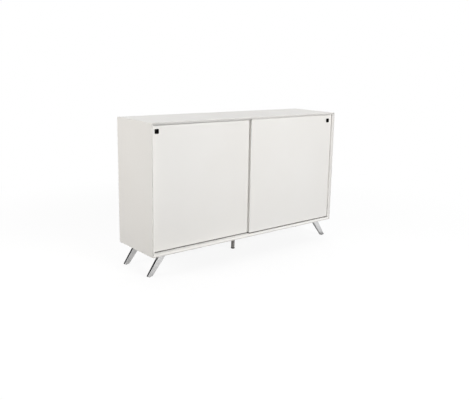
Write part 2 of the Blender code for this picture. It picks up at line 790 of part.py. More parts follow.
def leg_outline():
    """Side view of a leg that leans out to -X: (x from its outer top corner, height)."""
    fall = (LEG_TOP - LEG_SOLE) / STAND_HEIGHT
    outer_top = (0.0, LEG_TOP)
    inner_top = (LEG_TOP_WIDTH, LEG_TOP)
    outer_foot = (-LEG_OUTER_SPLAY * fall, LEG_SOLE)
    foot_width = LEG_TOP_WIDTH - (LEG_TOP_WIDTH - LEG_FOOT_WIDTH) * fall
    inner_foot = (outer_foot[0] + foot_width, LEG_SOLE)
    outline = [outer_top]
    outline += fillet(outer_top, outer_foot, inner_foot, LEG_OUTER_TOE_RADIUS)
    outline += fillet(outer_foot, inner_foot, inner_top, LEG_INNER_TOE_RADIUS)
    outline.append(inner_top)
    return outline


def sole_middle():
    """Middle of the flat under the foot, from the leg's outer top corner."""
    flat = [x for x, height in leg_outline() if math.isclose(height, LEG_SOLE, rel_tol=1e-4)]
    return (min(flat) + max(flat)) / 2


def make_leg(name, side, depth_name, depth):
    """Cast leg: a tapered blade under a screwed flange, with a glide in its foot."""
    before = list(bpy.data.objects)
    label = f"{depth_name}_{name}"
    outer = side * (HALF_WIDTH - LEG_TOP_OUTER_INSET)

    def stand(point):
        share = (point.y - LEG_SOLE) / (LEG_TOP - LEG_SOLE)
        thickness = LEG_FOOT_THICKNESS + (LEG_TOP_THICKNESS - LEG_FOOT_THICKNESS) * share
        y = depth + point.z * thickness / LEG_TOP_THICKNESS
        return Vector((outer - side * point.x, y, point.y))

    blade = plate(leg_outline(), LEG_TOP_THICKNESS)
    remap(blade, stand)
    bevel(blade, LEG_EDGE_RADIUS, 3)
    inner = outer - side * LEG_TOP_WIDTH
    ends = sorted((outer + side * LEG_FLANGE_MARGIN, inner - side * LEG_FLANGE_MARGIN))
    flange = box(
        (ends[0], depth - LEG_FLANGE_DEPTH / 2, LEG_TOP - LEG_FLANGE_THICKNESS),
        (ends[1], depth + LEG_FLANGE_DEPTH / 2, LEG_TOP),
    )
    round_uprights(flange, LEG_FLANGE_CORNER)
    join(blade, flange, label + "_leg_flange")
    for end, x in enumerate((ends[0] + LEG_SCREW_EDGE, ends[1] - LEG_SCREW_EDGE)):
        for across in (-1, 1):
            y = depth + across * (LEG_FLANGE_DEPTH / 2 - LEG_SCREW_EDGE)
            hole = cylinder(
                LEG_SCREW_RADIUS,
                LEG_FLANGE_THICKNESS + CUT_PAST,
                (x, y, LEG_TOP - LEG_FLANGE_THICKNESS / 2),
                "Z",
                SMALL_ROUND // 2,
            )
            cut(blade, hole, f"{label}_leg_screw_{end}_{'rear' if across > 0 else 'front'}")
    foot_x = outer - side * sole_middle()
    socket = cylinder(
        GLIDE_PEG_RADIUS + FIT,
        2 * (GLIDE_PEG_LENGTH + FIT),
        (foot_x, depth, LEG_SOLE),
        "Z",
        SMALL_ROUND // 2,
    )
    cut(blade, socket, label + "_glide_socket")
    smooth_round(blade)
    finish(blade, label + "_leg", CAST_ALUMINIUM)

    glide = turned(
        [
            (0.0, LEG_SOLE + GLIDE_PEG_LENGTH - FIT),
            (GLIDE_PEG_RADIUS, LEG_SOLE + GLIDE_PEG_LENGTH - FIT),
            (GLIDE_PEG_RADIUS, GLIDE_THICKNESS),
            (GLIDE_RADIUS, GLIDE_THICKNESS),
            (GLIDE_RADIUS, GLIDE_CHAMFER),
            (GLIDE_RADIUS - GLIDE_CHAMFER, 0.0),
            (0.0, 0.0),
        ],
        closed=False,
    )
    glide.location = (foot_x, depth, 0.0)
    finish(glide, label + "_glide", BLACK_GLIDE)
    carry(blade, [obj for obj in made_since(before) if obj is not blade])


def round_uprights(obj, radius):
    """Rounds the four upright corners of a box."""
    shape = bmesh.new()
    shape.from_mesh(obj.data)
    uprights = [
        edge for edge in shape.edges if abs((edge.verts[0].co - edge.verts[1].co).normalized().z) > 0.99
    ]
    bmesh.ops.bevel(
        shape,
        geom=uprights,
        offset=radius,
        offset_type="OFFSET",
        segments=4,
        profile=0.5,
        affect="EDGES",
    )
    shape.to_mesh(obj.data)
    shape.free()


def make_centre_support():
    """Tube with a flange under the middle of the bottom board, and its levelling foot."""
    top = STAND_HEIGHT - FIT
    bottom = FOOT_THICKNESS + FIT
    nut = SPINDLE_RADIUS + SPINDLE_NUT_CLEARANCE
    bore = POST_RADIUS - POST_WALL
    post = turned(
        [
            (POST_FLANGE_RADIUS, top),
            (POST_FLANGE_RADIUS, top - POST_FLANGE_THICKNESS),
            (POST_RADIUS, top - POST_FLANGE_THICKNESS),
            (POST_RADIUS, bottom),
            (nut, bottom),
            (nut, bottom + POST_NUT_LENGTH),
            (bore, bottom + POST_NUT_LENGTH),
            (bore, top),
        ],
        closed=True,
    )
    finish(post, "centre_support_post", DARK_STEEL)
    foot = turned(
        [
            (0.0, SPINDLE_LENGTH),
            (SPINDLE_RADIUS, SPINDLE_LENGTH),
            (SPINDLE_RADIUS, FOOT_THICKNESS),
            (FOOT_RADIUS - FOOT_CHAMFER, FOOT_THICKNESS),
            (FOOT_RADIUS, FOOT_THICKNESS - FOOT_CHAMFER),
            (FOOT_RADIUS, FOOT_CHAMFER),
            (FOOT_RADIUS - FOOT_CHAMFER, 0.0),
            (0.0, 0.0),
        ],
        closed=False,
    )
    finish(foot, "centre_support_foot", BLACK_FOOT)


PARTS, CUTTERS = start()

WHITE = (0.80, 0.79, 0.77)
WHITE_TOP = material("top panel white", WHITE, 0.45)
WHITE_BOTTOM = material("bottom panel white", WHITE, 0.45)
WHITE_BACK = material("back panel white", WHITE, 0.55)
WHITE_DIVIDER = material("divider white", WHITE, 0.5)
WHITE_UPPER_TRACK = material("upper track white", (0.75, 0.75, 0.74), 0.4)
WHITE_LOWER_TRACK = material("lower track white", (0.80, 0.79, 0.77), 0.35)
WHITE_GUIDE = material("top guide white", (0.72, 0.72, 0.70), 0.4)
SIDES = (
    ("left", -1, material("left side white", WHITE, 0.45)),
    ("right", 1, material("right side white", WHITE, 0.45)),
)
SHELF_LOOKS = {
    "left": material("left shelf white", WHITE, 0.5),
    "right": material("right shelf white", WHITE, 0.5),
}
WHITE_LEFT_DOOR = material("left door white", WHITE, 0.4)
WHITE_RIGHT_DOOR = material("right door white", WHITE, 0.4)
BLACK_PULL = material("pull black", (0.012, 0.012, 0.012), 0.4)
GREY_HOUSING = material("housing grey", (0.25, 0.25, 0.26), 0.5)
NYLON = material("nylon", (0.70, 0.70, 0.66), 0.35)
RUBBER = material("bumper rubber", (0.35, 0.35, 0.34), 0.7)
STEEL_PIN = material("pin steel", (0.62, 0.62, 0.62), 0.3, 1.0)
STEEL_AXLE = material("axle steel", (0.55, 0.55, 0.56), 0.3, 1.0)
CAST_ALUMINIUM = material("polished aluminium", (0.85, 0.85, 0.86), 0.12, 1.0)
BLACK_GLIDE = material("glide black", (0.02, 0.02, 0.02), 0.5)
DARK_STEEL = material("post dark steel", (0.16, 0.155, 0.15), 0.4, 0.6)
BLACK_FOOT = material("foot black", (0.03, 0.03, 0.03), 0.5)

make_frame()
make_back()
make_divider()
make_shelves()
make_shelf_pins()
make_tracks()
make_bumpers()
make_door("right", 1, FRONT_LANE, WHITE_RIGHT_DOOR)
make_door("left", -1, REAR_LANE, WHITE_LEFT_DOOR)
for side_name, side_sign, _ in SIDES:
    make_leg(side_name, side_sign, "front", FRONT + LEG_CENTRE_INSET)
    make_leg(side_name, side_sign, "rear", REAR - LEG_CENTRE_INSET)
make_centre_support()

stand_point = bpy.data.objects.new("cabinet_origin", None)
PARTS.objects.link(stand_point)
carry(stand_point, [obj for obj in bpy.data.objects if obj.parent is None and obj is not stand_point])
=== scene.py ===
"""Looks of a white office sideboard with two bypass doors on polished blade legs.

Metres; +X runs along the width, -Y is the front, +Z is up, and the floor is at zero.
"""

import math

import bmesh
import bpy
import numpy as np
from mathutils import Euler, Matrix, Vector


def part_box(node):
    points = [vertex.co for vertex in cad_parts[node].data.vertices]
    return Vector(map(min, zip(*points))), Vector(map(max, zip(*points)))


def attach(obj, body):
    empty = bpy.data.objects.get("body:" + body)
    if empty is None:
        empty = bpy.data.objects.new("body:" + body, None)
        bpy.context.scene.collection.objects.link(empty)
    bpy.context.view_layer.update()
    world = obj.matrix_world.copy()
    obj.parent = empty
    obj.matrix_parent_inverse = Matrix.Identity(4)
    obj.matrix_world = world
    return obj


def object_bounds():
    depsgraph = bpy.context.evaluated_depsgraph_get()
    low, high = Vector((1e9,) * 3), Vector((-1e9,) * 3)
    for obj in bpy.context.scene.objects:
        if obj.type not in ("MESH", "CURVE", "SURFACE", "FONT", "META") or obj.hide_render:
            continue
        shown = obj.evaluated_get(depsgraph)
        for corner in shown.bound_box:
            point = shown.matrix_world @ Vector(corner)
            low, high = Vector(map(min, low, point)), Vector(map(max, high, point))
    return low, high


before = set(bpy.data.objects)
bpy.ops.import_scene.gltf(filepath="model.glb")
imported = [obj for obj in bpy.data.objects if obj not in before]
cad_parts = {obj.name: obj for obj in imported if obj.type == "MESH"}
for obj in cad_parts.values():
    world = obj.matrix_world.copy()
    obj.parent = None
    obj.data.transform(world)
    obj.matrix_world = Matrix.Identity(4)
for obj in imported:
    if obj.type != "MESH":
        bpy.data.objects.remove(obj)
cad_low, cad_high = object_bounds()


# Camera
# A 45 mm lens at standing height, off the left front corner, a little over four metres away.
# The small shift is the photograph's own crop.
lens = bpy.data.cameras.new("camera")
lens.lens = 45.5133
lens.sensor_width = 36.0
lens.shift_x = -0.036654
lens.shift_y = -0.038575
lens.clip_end = 60.0
camera = bpy.data.objects.new("camera", lens)
camera.location = (-2.61361, -3.24494, 1.34929)
camera.rotation_euler = Euler([math.radians(turn) for turn in (78.45873, -1.30914, -40.33237)])
bpy.context.scene.collection.objects.link(camera)
bpy.context.scene.camera = camera


# Frame boards
# Four 16 mm chipboards faced in pearl white melamine, mitred and glued into one frame.
# The foil runs on over the chamfer at the front, and the mitres show as hairlines.
class Wire:
    """A shader socket in an expression: every operator adds its Math node to the tree."""

    def __init__(self, tree, socket=None):
        self.tree = tree
        self.socket = socket

    def node(self, kind, settings, sockets, output=0):
        """Adds a node, sets its settings and then the values or links of its sockets."""
        made = self.tree.nodes.new("ShaderNode" + kind)
        for name, value in settings.items():
            setattr(made, name, value)
        for name, value in sockets.items():
            if isinstance(value, Wire):
                self.tree.links.new(value.socket, made.inputs[name])
            else:
                made.inputs[name].default_value = value
        return Wire(self.tree, made.outputs[output])

    def maths(self, operation, *values):
        """A Math node on this socket and the values after it."""
        return self.node("Math", {"operation": operation}, dict(enumerate(values)))

    def __add__(self, other):
        return self.maths("ADD", self, other)

    def __sub__(self, other):
        return self.maths("SUBTRACT", self, other)

    def __rsub__(self, other):
        return self.maths("SUBTRACT", other, self)

    def __mul__(self, other):
        return self.maths("MULTIPLY", self, other)

    __radd__ = __add__
    __rmul__ = __mul__

    def rise(self, low, high):
        """Goes smoothly from 0 at the low value to 1 at the high one."""
        return self.node(
            "MapRange",
            {"interpolation_type": "SMOOTHSTEP"},
            {"Value": self, "From Min": low, "From Max": high},
        )

    def blend(self, dark, light):
        """A colour between two, this socket being the share of the second."""
        colours = [c if isinstance(c, Wire) else (*c, 1.0) for c in (dark, light)]
        return self.node("Mix", {"data_type": "RGBA"}, {0: self, 6: colours[0], 7: colours[1]}, 2)

    def grain(self, scale, detail=2.0, rough=0.5, stretch=(1.0, 1.0, 1.0)):
        """Noise on the piece's own coordinates, scale being its features to the metre."""
        stretched = self.node("Mapping", {}, {"Vector": self, "Scale": stretch})
        return self.node(
            "TexNoise", {}, {"Vector": stretched, "Scale": scale, "Detail": detail, "Roughness": rough}
        )

    def bump(self, height, strength, distance):
        """A normal that follows a height, in metres of relief."""
        return self.node("Bump", {}, {"Height": height, "Strength": strength, "Distance": distance})


def finish_of(name):
    """An empty material: its shader's node, and the piece's own coordinates as a Wire."""
    made = bpy.data.materials.new(name)
    made.use_nodes = True
    shader = made.node_tree.nodes["Principled BSDF"]
    place = Wire(made.node_tree).node("TexCoord", {}, {}, 3)
    return made, shader, place


def apply_to(shader, **sockets):
    """Sets or links the shader's sockets; words are joined by underscores."""
    for name, value in sockets.items():
        socket = shader.inputs[name.replace("_", " ")]
        if isinstance(value, Wire):
            shader.id_data.links.new(value.socket, socket)
        else:
            socket.default_value = value


def melamine(name, warm, cool, roughness, seams=(), shade_depth=None):
    """White melamine: a faint cloudiness, a pearl texture a millimetre fine, and glue lines.

    A seam is (axis, place): a hairline of glue between the face and its edge strip.
    In front of the depth given last, the foil is painted a shade greyer: painted shade on the front
    edges.
    """
    made, shader, place = finish_of(name)
    cloud = place.grain(1.7, 3.0)
    pearl = place.grain(620.0, 2.0, 0.6)
    speck = place.grain(2300.0, 1.0)
    colour = cloud.rise(0.30, 0.70).blend(warm, cool)
    axes = [place.node("SeparateXYZ", {}, {"Vector": place}, axis) for axis in range(3)]
    line = None
    for axis, where in seams:
        away = axes[axis] - where
        near = away.maths("ABSOLUTE", away).rise(0.00022, 0.00008)
        line = near if line is None else line.maths("MAXIMUM", line, near)
    if line is not None:
        colour = (line * 0.45).blend(colour, (0.52, 0.50, 0.46))
    if shade_depth is not None:
        colour = axes[1].rise(shade_depth, shade_depth - 0.0004).blend(colour, front_shade_white)
    worn = roughness + 0.10 * place.grain(9.0, 4.0) + 0.05 * pearl
    relief = pearl + 0.4 * speck
    apply_to(shader, Base_Color=colour, Roughness=worn, Normal=place.bump(relief, 0.35, 0.00008))
    apply_to(shader, IOR=1.48)
    return made


def dress(node, material):
    """Gives a CAD node its finish."""
    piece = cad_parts[node]
    for slot in piece.material_slots:
        slot.material = material
    return piece


def soften(piece, width):
    """Welds a CAD node's loose triangles and rounds its sharp edges, as modifiers."""
    weld = piece.modifiers.new("weld", "WELD")
    weld.merge_threshold = 0.00001
    flat = piece.modifiers.new("flat", "DECIMATE")
    flat.decimate_type = "DISSOLVE"
    flat.angle_limit = math.radians(0.5)
    edge = piece.modifiers.new("edge", "BEVEL")
    edge.width = width
    edge.segments = 2
    edge.limit_method = "ANGLE"
    edge.angle_limit = math.radians(35)
    edge.harden_normals = True


warm_white = (0.815, 0.800, 0.772)
cool_white = (0.832, 0.820, 0.796)
# Painted shade: the frame's front edge faces, a millimetre deep, are coloured a shade greyer.
front_shade_white = (0.700, 0.686, 0.658)
front_shade_from = cad_low.y + 0.0010
board_white = melamine("pearl_white_melamine", warm_white, cool_white, 0.36, (), front_shade_from)
for board in ("top_panel", "bottom_panel", "left_side_panel", "right_side_panel"):
    soften(dress(board, board_white), 0.0005)


# Tracks
# Extruded white plastic, pressed into grooves of the boards and screwed, the lower one for
# the rollers and the upper one for the guides. Both show the fine lines of the die.
def drawn(name, colour, roughness, along, depth):
    """Extruded stock: lines that run along it, its sheen uneven by a little."""
    made, shader, place = finish_of(name)
    stretch = tuple(0.012 if axis == along else 1.0 for axis in range(3))
    lines = place.grain(1500.0, 3.0, 0.6, stretch)
    shade = place.grain(60.0, 2.0, 0.5, stretch)
    dull = tuple(0.90 * part for part in colour)
    apply_to(shader, Base_Color=(0.7 * shade + 0.3 * lines).blend(dull, colour))
    apply_to(shader, Roughness=roughness + 0.14 * lines, Normal=place.bump(lines, 0.4, depth))
    return made


def quads(rows, columns):
    """Corners of the faces of a grid whose last column meets its first."""
    start = np.arange(rows - 1)[:, None] * columns
    here = np.arange(columns)[None, :]
    after = (here + 1) % columns
    corners = [start + here, start + after, start + columns + after, start + columns + here]
    return np.stack(corners, -1).reshape(-1, 4)


def surface(name, grid, material, body):
    """A piece from copies of a ring grid, an array (copy, row, column, xyz), with closed poles."""
    copies, rows, columns, _ = grid.shape
    faces = quads(rows, columns)[None] + (np.arange(copies) * rows * columns)[:, None, None]
    mesh = bpy.data.meshes.new(name)
    mesh.from_pydata(grid.reshape(-1, 3), [], faces.reshape(-1, 4))
    shape = bmesh.new()
    shape.from_mesh(mesh)
    bmesh.ops.remove_doubles(shape, verts=shape.verts, dist=1e-6)
    bmesh.ops.recalc_face_normals(shape, faces=shape.faces)
    shape.to_mesh(mesh)
    shape.free()
    mesh.shade_smooth()
    mesh.set_sharp_from_angle(angle=math.radians(38))
    mesh.materials.append(material)
    piece = bpy.data.objects.new(name, mesh)
    bpy.context.scene.collection.objects.link(piece)
    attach(piece, body)
    return piece


def screws(places, facing, radius, height, shank):
    """Pan head screws with a cross recess, as grids for surface().

    A head has a radius and a height, and its shank is a share of that radius. Each ring is
    (radius, height) about the screw's axis. The recess is a cross of arm length L and half
    width w: its rim lies at L / cos(a) on an arm's end and at w / |sin(a)| on its side, a being
    the angle from the nearest arm. The head is an ellipse from rim to crown. Each screw stops
    a golden angle further round than the one before.
    """
    places = np.asarray(places, float)
    arm, half = 0.52 * radius, 0.15 * radius
    tip = math.atan(half / arm)
    angle = np.array([-math.pi / 4, -0.52, -tip, 0.0, tip, 0.52])
    steep = np.maximum(np.abs(angle), tip)
    cross = np.where(np.abs(angle) <= tip + 1e-9, arm / np.cos(angle), half / np.sin(steep))
    cross = np.tile(cross, 4)
    around = np.concatenate([angle + quarter * math.pi / 2 for quarter in range(4)])
    dome = np.array([0.60, 0.78, 0.92, 1.0])
    curve = 0.93
    crown = height * np.sqrt(1 - (curve * dome) ** 2) / math.sqrt(1 - (curve * 0.5) ** 2)
    recess = 0.35 * height
    end = -1.6 * height
    rings = [np.zeros(24), 0.55 * cross, cross]
    levels = [recess, recess, height]
    for share, level in zip(dome, crown):
        rings.append(np.full(24, share * radius))
        levels.append(level)
    for size, level in ((1.0, 0.0), (shank, 0.0), (shank, end), (0.0, end)):
        rings.append(np.full(24, size * radius))
        levels.append(level)
    ring = np.array(rings)
    level = np.broadcast_to(np.array(levels)[:, None], ring.shape)
    golden_angle = 2.399963
    turn = (np.arange(len(places)) * golden_angle)[:, None, None] + around[None, None, :]
    levels_of_all = np.broadcast_to(level, (len(places), *ring.shape))
    local = np.stack([ring * np.cos(turn), ring * np.sin(turn), levels_of_all], -1)
    outward = np.asarray(facing, float)
    side = np.roll(outward, 1)
    basis = np.stack([side, np.cross(outward, side), outward])
    return local @ basis + places[:, None, None, :]


def plated(name, colour, roughness, speckle):
    """Zinc plated steel: crystals of two greys, and roughness that follows them."""
    made, shader, place = finish_of(name)
    crystals = place.node("TexVoronoi", {}, {"Vector": place, "Scale": speckle})
    haze = place.grain(240.0, 3.0)
    dark = tuple(0.78 * part for part in colour)
    apply_to(shader, Base_Color=(0.5 * crystals + 0.5 * haze).blend(dark, colour), Metallic=1.0)
    apply_to(shader, Roughness=roughness + 0.12 * haze, Normal=place.bump(haze, 0.2, 0.00003))
    return made


track_plastic = drawn("white_track_plastic", (0.83, 0.82, 0.80), 0.34, 0, 0.00002)
zinc = plated("zinc_plated_steel", (0.74, 0.74, 0.76), 0.24, 1400.0)
dress("lower_track", track_plastic)
dress("upper_track", track_plastic)
track_low, track_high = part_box("lower_track")
lanes_middle = (track_low.y + track_high.y) / 2
end_margin = 0.06
track_stations = np.linspace(track_low.x + end_margin, track_high.x - end_margin, 6)
lower_web = 0.0015
upper_web = 0.0012
track_screw = {"radius": 0.0034, "height": 0.0013, "shank": 0.4}
spots = [(x, lanes_middle, track_low.z + lower_web) for x in track_stations]
heads = screws(spots, (0, 0, 1), **track_screw)
surface("lower_track_screws", heads, zinc, "carcass")
spots = [(x, lanes_middle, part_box("upper_track")[1].z - upper_web) for x in track_stations]
heads = screws(spots, (0, 0, -1), **track_screw)
surface("upper_track_screws", heads, zinc, "carcass")


# Divider and shelves
# Plainer white board, 16 mm for the divider and 18 mm for the shelves, their front edges
# closed with a 1 mm strip of plastic edging.
inside_warm = (0.790, 0.777, 0.750)
inside_cool = (0.806, 0.796, 0.773)
strip_thickness = 0.001
for board in ("centre_divider", "left_shelf", "right_shelf"):
    low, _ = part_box(board)
    seam = (1, low.y + strip_thickness)
    piece = dress(board, melamine(board + "_white", inside_warm, inside_cool, 0.42, [seam]))
    if board == "centre_divider":
        soften(piece, 0.0006)


# Back panel
# White lacquered hardboard of 8 mm, glued into the rebate round the back of the frame.
def lacquered_back(name):
    """Lacquered hardboard: felted by the press on a scale of millimetres."""
    made, shader, place = finish_of(name)
    felt = place.grain(170.0, 5.0, 0.7)
    cloud = place.grain(3.0, 2.0)
    colour = (0.6 * cloud + 0.4 * felt).blend((0.765, 0.752, 0.722), (0.800, 0.790, 0.765))
    apply_to(shader, Base_Color=colour, Roughness=0.50 + 0.12 * felt)
    apply_to(shader, Normal=place.bump(felt, 0.45, 0.00012))
    return made


dress("back_panel", lacquered_back("lacquered_hardboard"))


# Shelf pins and bumpers
# Nickel plated steel pins, turned, and soft clear bumpers that the doors come to rest on.
def turned_steel(name, colour, roughness):
    """Turned and plated steel: rings left by the tool, under a bright plating."""
    made, shader, place = finish_of(name)
    ripple = place.grain(2600.0, 1.0, 0.5)
    tarnish = place.grain(130.0, 3.0)
    dark = tuple(0.82 * part for part in colour)
    apply_to(shader, Base_Color=tarnish.rise(0.35, 0.70).blend(colour, dark), Metallic=1.0)
    apply_to(shader, Roughness=roughness + 0.10 * tarnish, Normal=place.bump(ripple, 0.2, 0.00002))
    return made


def soft_plastic(name, colour, roughness, fine, relief, gloss=0.5):
    """Moulded plastic or rubber: the spark eroded skin of its mould, and a faint bloom."""
    made, shader, place = finish_of(name)
    skin = place.grain(fine, 3.0, 0.65)
    bloom = place.grain(45.0, 3.0)
    pale = tuple(min(1.0, 1.12 * part + 0.004) for part in colour)
    apply_to(shader, Base_Color=bloom.rise(0.30, 0.75).blend(colour, pale))
    apply_to(shader, Roughness=roughness + 0.12 * skin, Normal=place.bump(skin, 0.5, relief))
    apply_to(shader, Specular_IOR_Level=gloss)
    return made


nickel = turned_steel("nickel_plated_pin", (0.80, 0.78, 0.74), 0.14)
clear_rubber = soft_plastic("clear_bumper_rubber", (0.56, 0.56, 0.54), 0.42, 900.0, 0.00002)
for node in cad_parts:
    if node.startswith("shelf_pin"):
        dress(node, nickel)
    if node.startswith("bumper"):
        dress(node, clear_rubber)


# Legs
# Cast aluminium blades, ground and polished nearly to a mirror, that lean out from under
# the corners. Each hangs from its own cast flange by four screws.
def smooth_cast():
    """Node group that shades smoothly across every edge flatter than 40 degrees."""
    group = bpy.data.node_groups.new("smooth_cast", "GeometryNodeTree")
    group.interface.new_socket("Geometry", in_out="INPUT", socket_type="NodeSocketGeometry")
    group.interface.new_socket("Geometry", in_out="OUTPUT", socket_type="NodeSocketGeometry")
    come = group.nodes.new("NodeGroupInput")
    go = group.nodes.new("NodeGroupOutput")
    angle = group.nodes.new("GeometryNodeInputMeshEdgeAngle")
    sharp = group.nodes.new("FunctionNodeCompare")
    sharp.data_type = "FLOAT"
    sharp.operation = "LESS_EQUAL"
    sharp.inputs["B"].default_value = math.radians(40)
    faces = group.nodes.new("GeometryNodeSetShadeSmooth")
    faces.domain = "FACE"
    edges = group.nodes.new("GeometryNodeSetShadeSmooth")
    edges.domain = "EDGE"
    group.links.new(come.outputs[0], faces.inputs["Geometry"])
    group.links.new(faces.outputs[0], edges.inputs["Geometry"])
    group.links.new(angle.outputs["Unsigned Angle"], sharp.inputs["A"])
    group.links.new(sharp.outputs["Result"], edges.inputs["Shade Smooth"])
    group.links.new(edges.outputs[0], go.inputs[0])
    return group


def polish(piece):
    """Welds a CAD node and shades its rounds smoothly, with its flats kept flat."""
    weld = piece.modifiers.new("weld", "WELD")
    weld.merge_threshold = 0.00001
    smooth = piece.modifiers.new("smooth", "NODES")
    smooth.node_group = cast_smoothing
    even = piece.modifiers.new("even", "WEIGHTED_NORMAL")
    even.keep_sharp = True
    even.mode = "FACE_AREA"


def polished_aluminium(name):
    """Polished casting: the haze of the mop along the blade, and a trace of cast waviness."""
    made, shader, place = finish_of(name)
    mop = place.grain(420.0, 3.0, 0.6, (1.0, 1.0, 0.10))
    wave = place.grain(38.0, 2.0)
    haze = place.grain(22.0, 4.0)
    height = place.node("SeparateXYZ", {}, {"Vector": place}, 2)
    # The blade is darker and rougher towards the floor.
    toward_floor = height.rise(0.030, 0.004)
    colour = (0.5 * haze + 0.3 * toward_floor).blend((0.800, 0.802, 0.808), (0.690, 0.690, 0.695))
    apply_to(shader, Base_Color=colour, Metallic=1.0)
    apply_to(shader, Roughness=0.09 + 0.07 * haze + 0.04 * mop + 0.10 * toward_floor)
    apply_to(shader, Normal=place.bump(wave + 0.02 * mop, 0.25, 0.00010))
    return made


cast_smoothing = smooth_cast()
cast = polished_aluminium("polished_cast_aluminium")
glide_plastic = soft_plastic("black_glide_plastic", (0.020, 0.020, 0.021), 0.40, 700.0, 0.00004)
flange_length = 0.097
flange_thickness = 0.005
screw_from_end = 0.010
screw_from_middle = 0.025
leg_screw = {"radius": 0.0046, "height": 0.0024, "shank": 0.5}
for corner in ("front_left", "front_right", "rear_left", "rear_right"):
    polish(dress(corner + "_leg", cast))
    dress(corner + "_glide", glide_plastic)
    leg_low, leg_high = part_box(corner + "_leg")
    outward = 1.0 if leg_high.x > 0 else -1.0
    flange_inner = min(abs(leg_low.x), abs(leg_high.x))
    flange_outer = flange_inner + flange_length
    middle = (leg_low.y + leg_high.y) / 2
    spots = [
        (outward * x, middle + across * screw_from_middle, leg_high.z - flange_thickness)
        for x in (flange_inner + screw_from_end, flange_outer - screw_from_end)
        for across in (-1, 1)
    ]
    heads = screws(spots, (0, 0, -1), **leg_screw)
    surface(corner + "_leg_screws", heads, zinc, "carcass")


# Centre support
# A steel tube welded to a round plate, powder coated grey, held by three screws.
# Its foot is a moulded pad on a threaded spindle that screws into the tube.
def powder_coat(name, colour):
    """Powder coat: the orange peel of melted powder over steel."""
    made, shader, place = finish_of(name)
    peel = place.grain(520.0, 2.0, 0.5)
    shade = place.grain(14.0, 3.0)
    light = tuple(1.25 * part for part in colour)
    apply_to(shader, Base_Color=shade.rise(0.30, 0.70).blend(colour, light), Metallic=0.35)
    apply_to(shader, Roughness=0.36 + 0.10 * peel, Normal=place.bump(peel, 0.4, 0.00006))
    return made


def weld_bead(radius, level, size):
    """A ring of weld between a tube and a plate above it.

    Its section is a circle about (radius + size / 2, level - size / 2) whose radius ripples
    along the ring, 34 ripples to the turn, as the torch leaves it.
    """
    ripples = 34
    turn = np.linspace(0, 2 * math.pi, 4 * ripples, endpoint=False)[:, None]
    section = np.linspace(0, 2 * math.pi, 8, endpoint=False)[None, :]
    bulge = size * (0.92 + 0.08 * np.cos(ripples * turn))
    reach = radius + size / 2 + bulge * np.cos(section)
    height = level - size / 2 + bulge * np.sin(section)
    ring = np.stack([reach * np.cos(turn), reach * np.sin(turn), height], -1)
    return np.concatenate([ring, ring[:1]])[None]


def thread(radius, crest, low, high, pitch):
    """The thread of a spindle: a rounded ridge that climbs one pitch with each turn.

    Its section is a flat ellipse half sunk in the spindle, and shrinks to a point at both ends.
    """
    turns = (high - low) / pitch
    along = np.linspace(0, turns, int(turns * 28))[:, None]
    section = np.linspace(0, 2 * math.pi, 6, endpoint=False)[None, :]
    taper = np.clip(np.minimum(along, turns - along) / 0.4, 0, 1)
    reach = radius + (crest - radius) * taper * np.cos(section)
    height = low + along * pitch + 0.42 * pitch * taper * np.sin(section)
    turn = 2 * math.pi * along
    return np.stack([reach * np.cos(turn), reach * np.sin(turn), height], -1)[None]


coat = powder_coat("grey_powder_coat", (0.335, 0.322, 0.308))
post = dress("centre_support_post", coat)
polish(post)
plate_thickness = 0.004
plate_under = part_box("centre_support_post")[1].z - plate_thickness
tube_radius = 0.0125
bead_size = 0.0016
bead = weld_bead(tube_radius, plate_under, bead_size)
surface("post_weld", bead, coat, "carcass")
screw_circle = 0.0222
post_screw = {"radius": 0.0042, "height": 0.0022, "shank": 0.4}
around_post = np.radians([90.0, 210.0, 330.0])
spots = [(screw_circle * math.cos(a), screw_circle * math.sin(a), plate_under) for a in around_post]
heads = screws(spots, (0, 0, -1), **post_screw)
surface("post_screws", heads, zinc, "carcass")
pad = soft_plastic("dark_foot_plastic", (0.050, 0.047, 0.045), 0.42, 600.0, 0.00005)
polish(dress("centre_support_foot", pad))
spindle = {"radius": 0.005, "crest": 0.0054, "low": 0.0090, "high": 0.0585, "pitch": 0.0015}
surface("foot_thread", thread(**spindle), pad, "levelling_foot")


# Doors
# 16 mm boards in the same white, edged all round, with a trace of handling about the pulls.
# A dark grey strip of pile under each is painted shade for the gap beneath it, seen as a dark line.
def door_white(name, low, high, pull):
    """The board's melamine with glue lines by its four edges, and a duller patch by its pull."""
    seams = [(0, low.x + strip_thickness), (0, high.x - strip_thickness)]
    seams += [(2, low.z + strip_thickness), (2, high.z - strip_thickness)]
    made = melamine(name, warm_white, cool_white, 0.32, seams)
    tree = made.node_tree
    shader = tree.nodes["Principled BSDF"]
    place = Wire(tree).node("TexCoord", {}, {}, 3)
    off = place.node("VectorMath", {"operation": "DISTANCE"}, {0: place, 1: pull}, 1)
    handled = off.rise(0.075, 0.020) * place.grain(60.0, 3.0).rise(0.35, 0.70)
    worn = Wire(tree, shader.inputs["Roughness"].links[0].from_socket)
    plain = Wire(tree, shader.inputs["Base Color"].links[0].from_socket)
    apply_to(shader, Roughness=worn + 0.10 * handled)
    apply_to(shader, Base_Color=(0.18 * handled).blend(plain, (0.700, 0.685, 0.655)))
    return made


def pile_fibre(name, colour):
    """Woven pile: upright fibres of uneven tone that catch a little light along their sides."""
    made, shader, place = finish_of(name)
    fibre = place.grain(2400.0, 2.0, 0.6, (1.0, 1.0, 0.06))
    tuft = place.grain(420.0, 2.0, 0.5, (1.0, 1.0, 0.15))
    pale = tuple(1.45 * part for part in colour)
    apply_to(shader, Base_Color=(0.6 * fibre + 0.4 * tuft).blend(colour, pale))
    apply_to(shader, Roughness=0.85 + 0.1 * tuft, Normal=place.bump(fibre, 0.7, 0.0002))
    apply_to(shader, Sheen_Weight=0.25, Specular_IOR_Level=0.2)
    return made


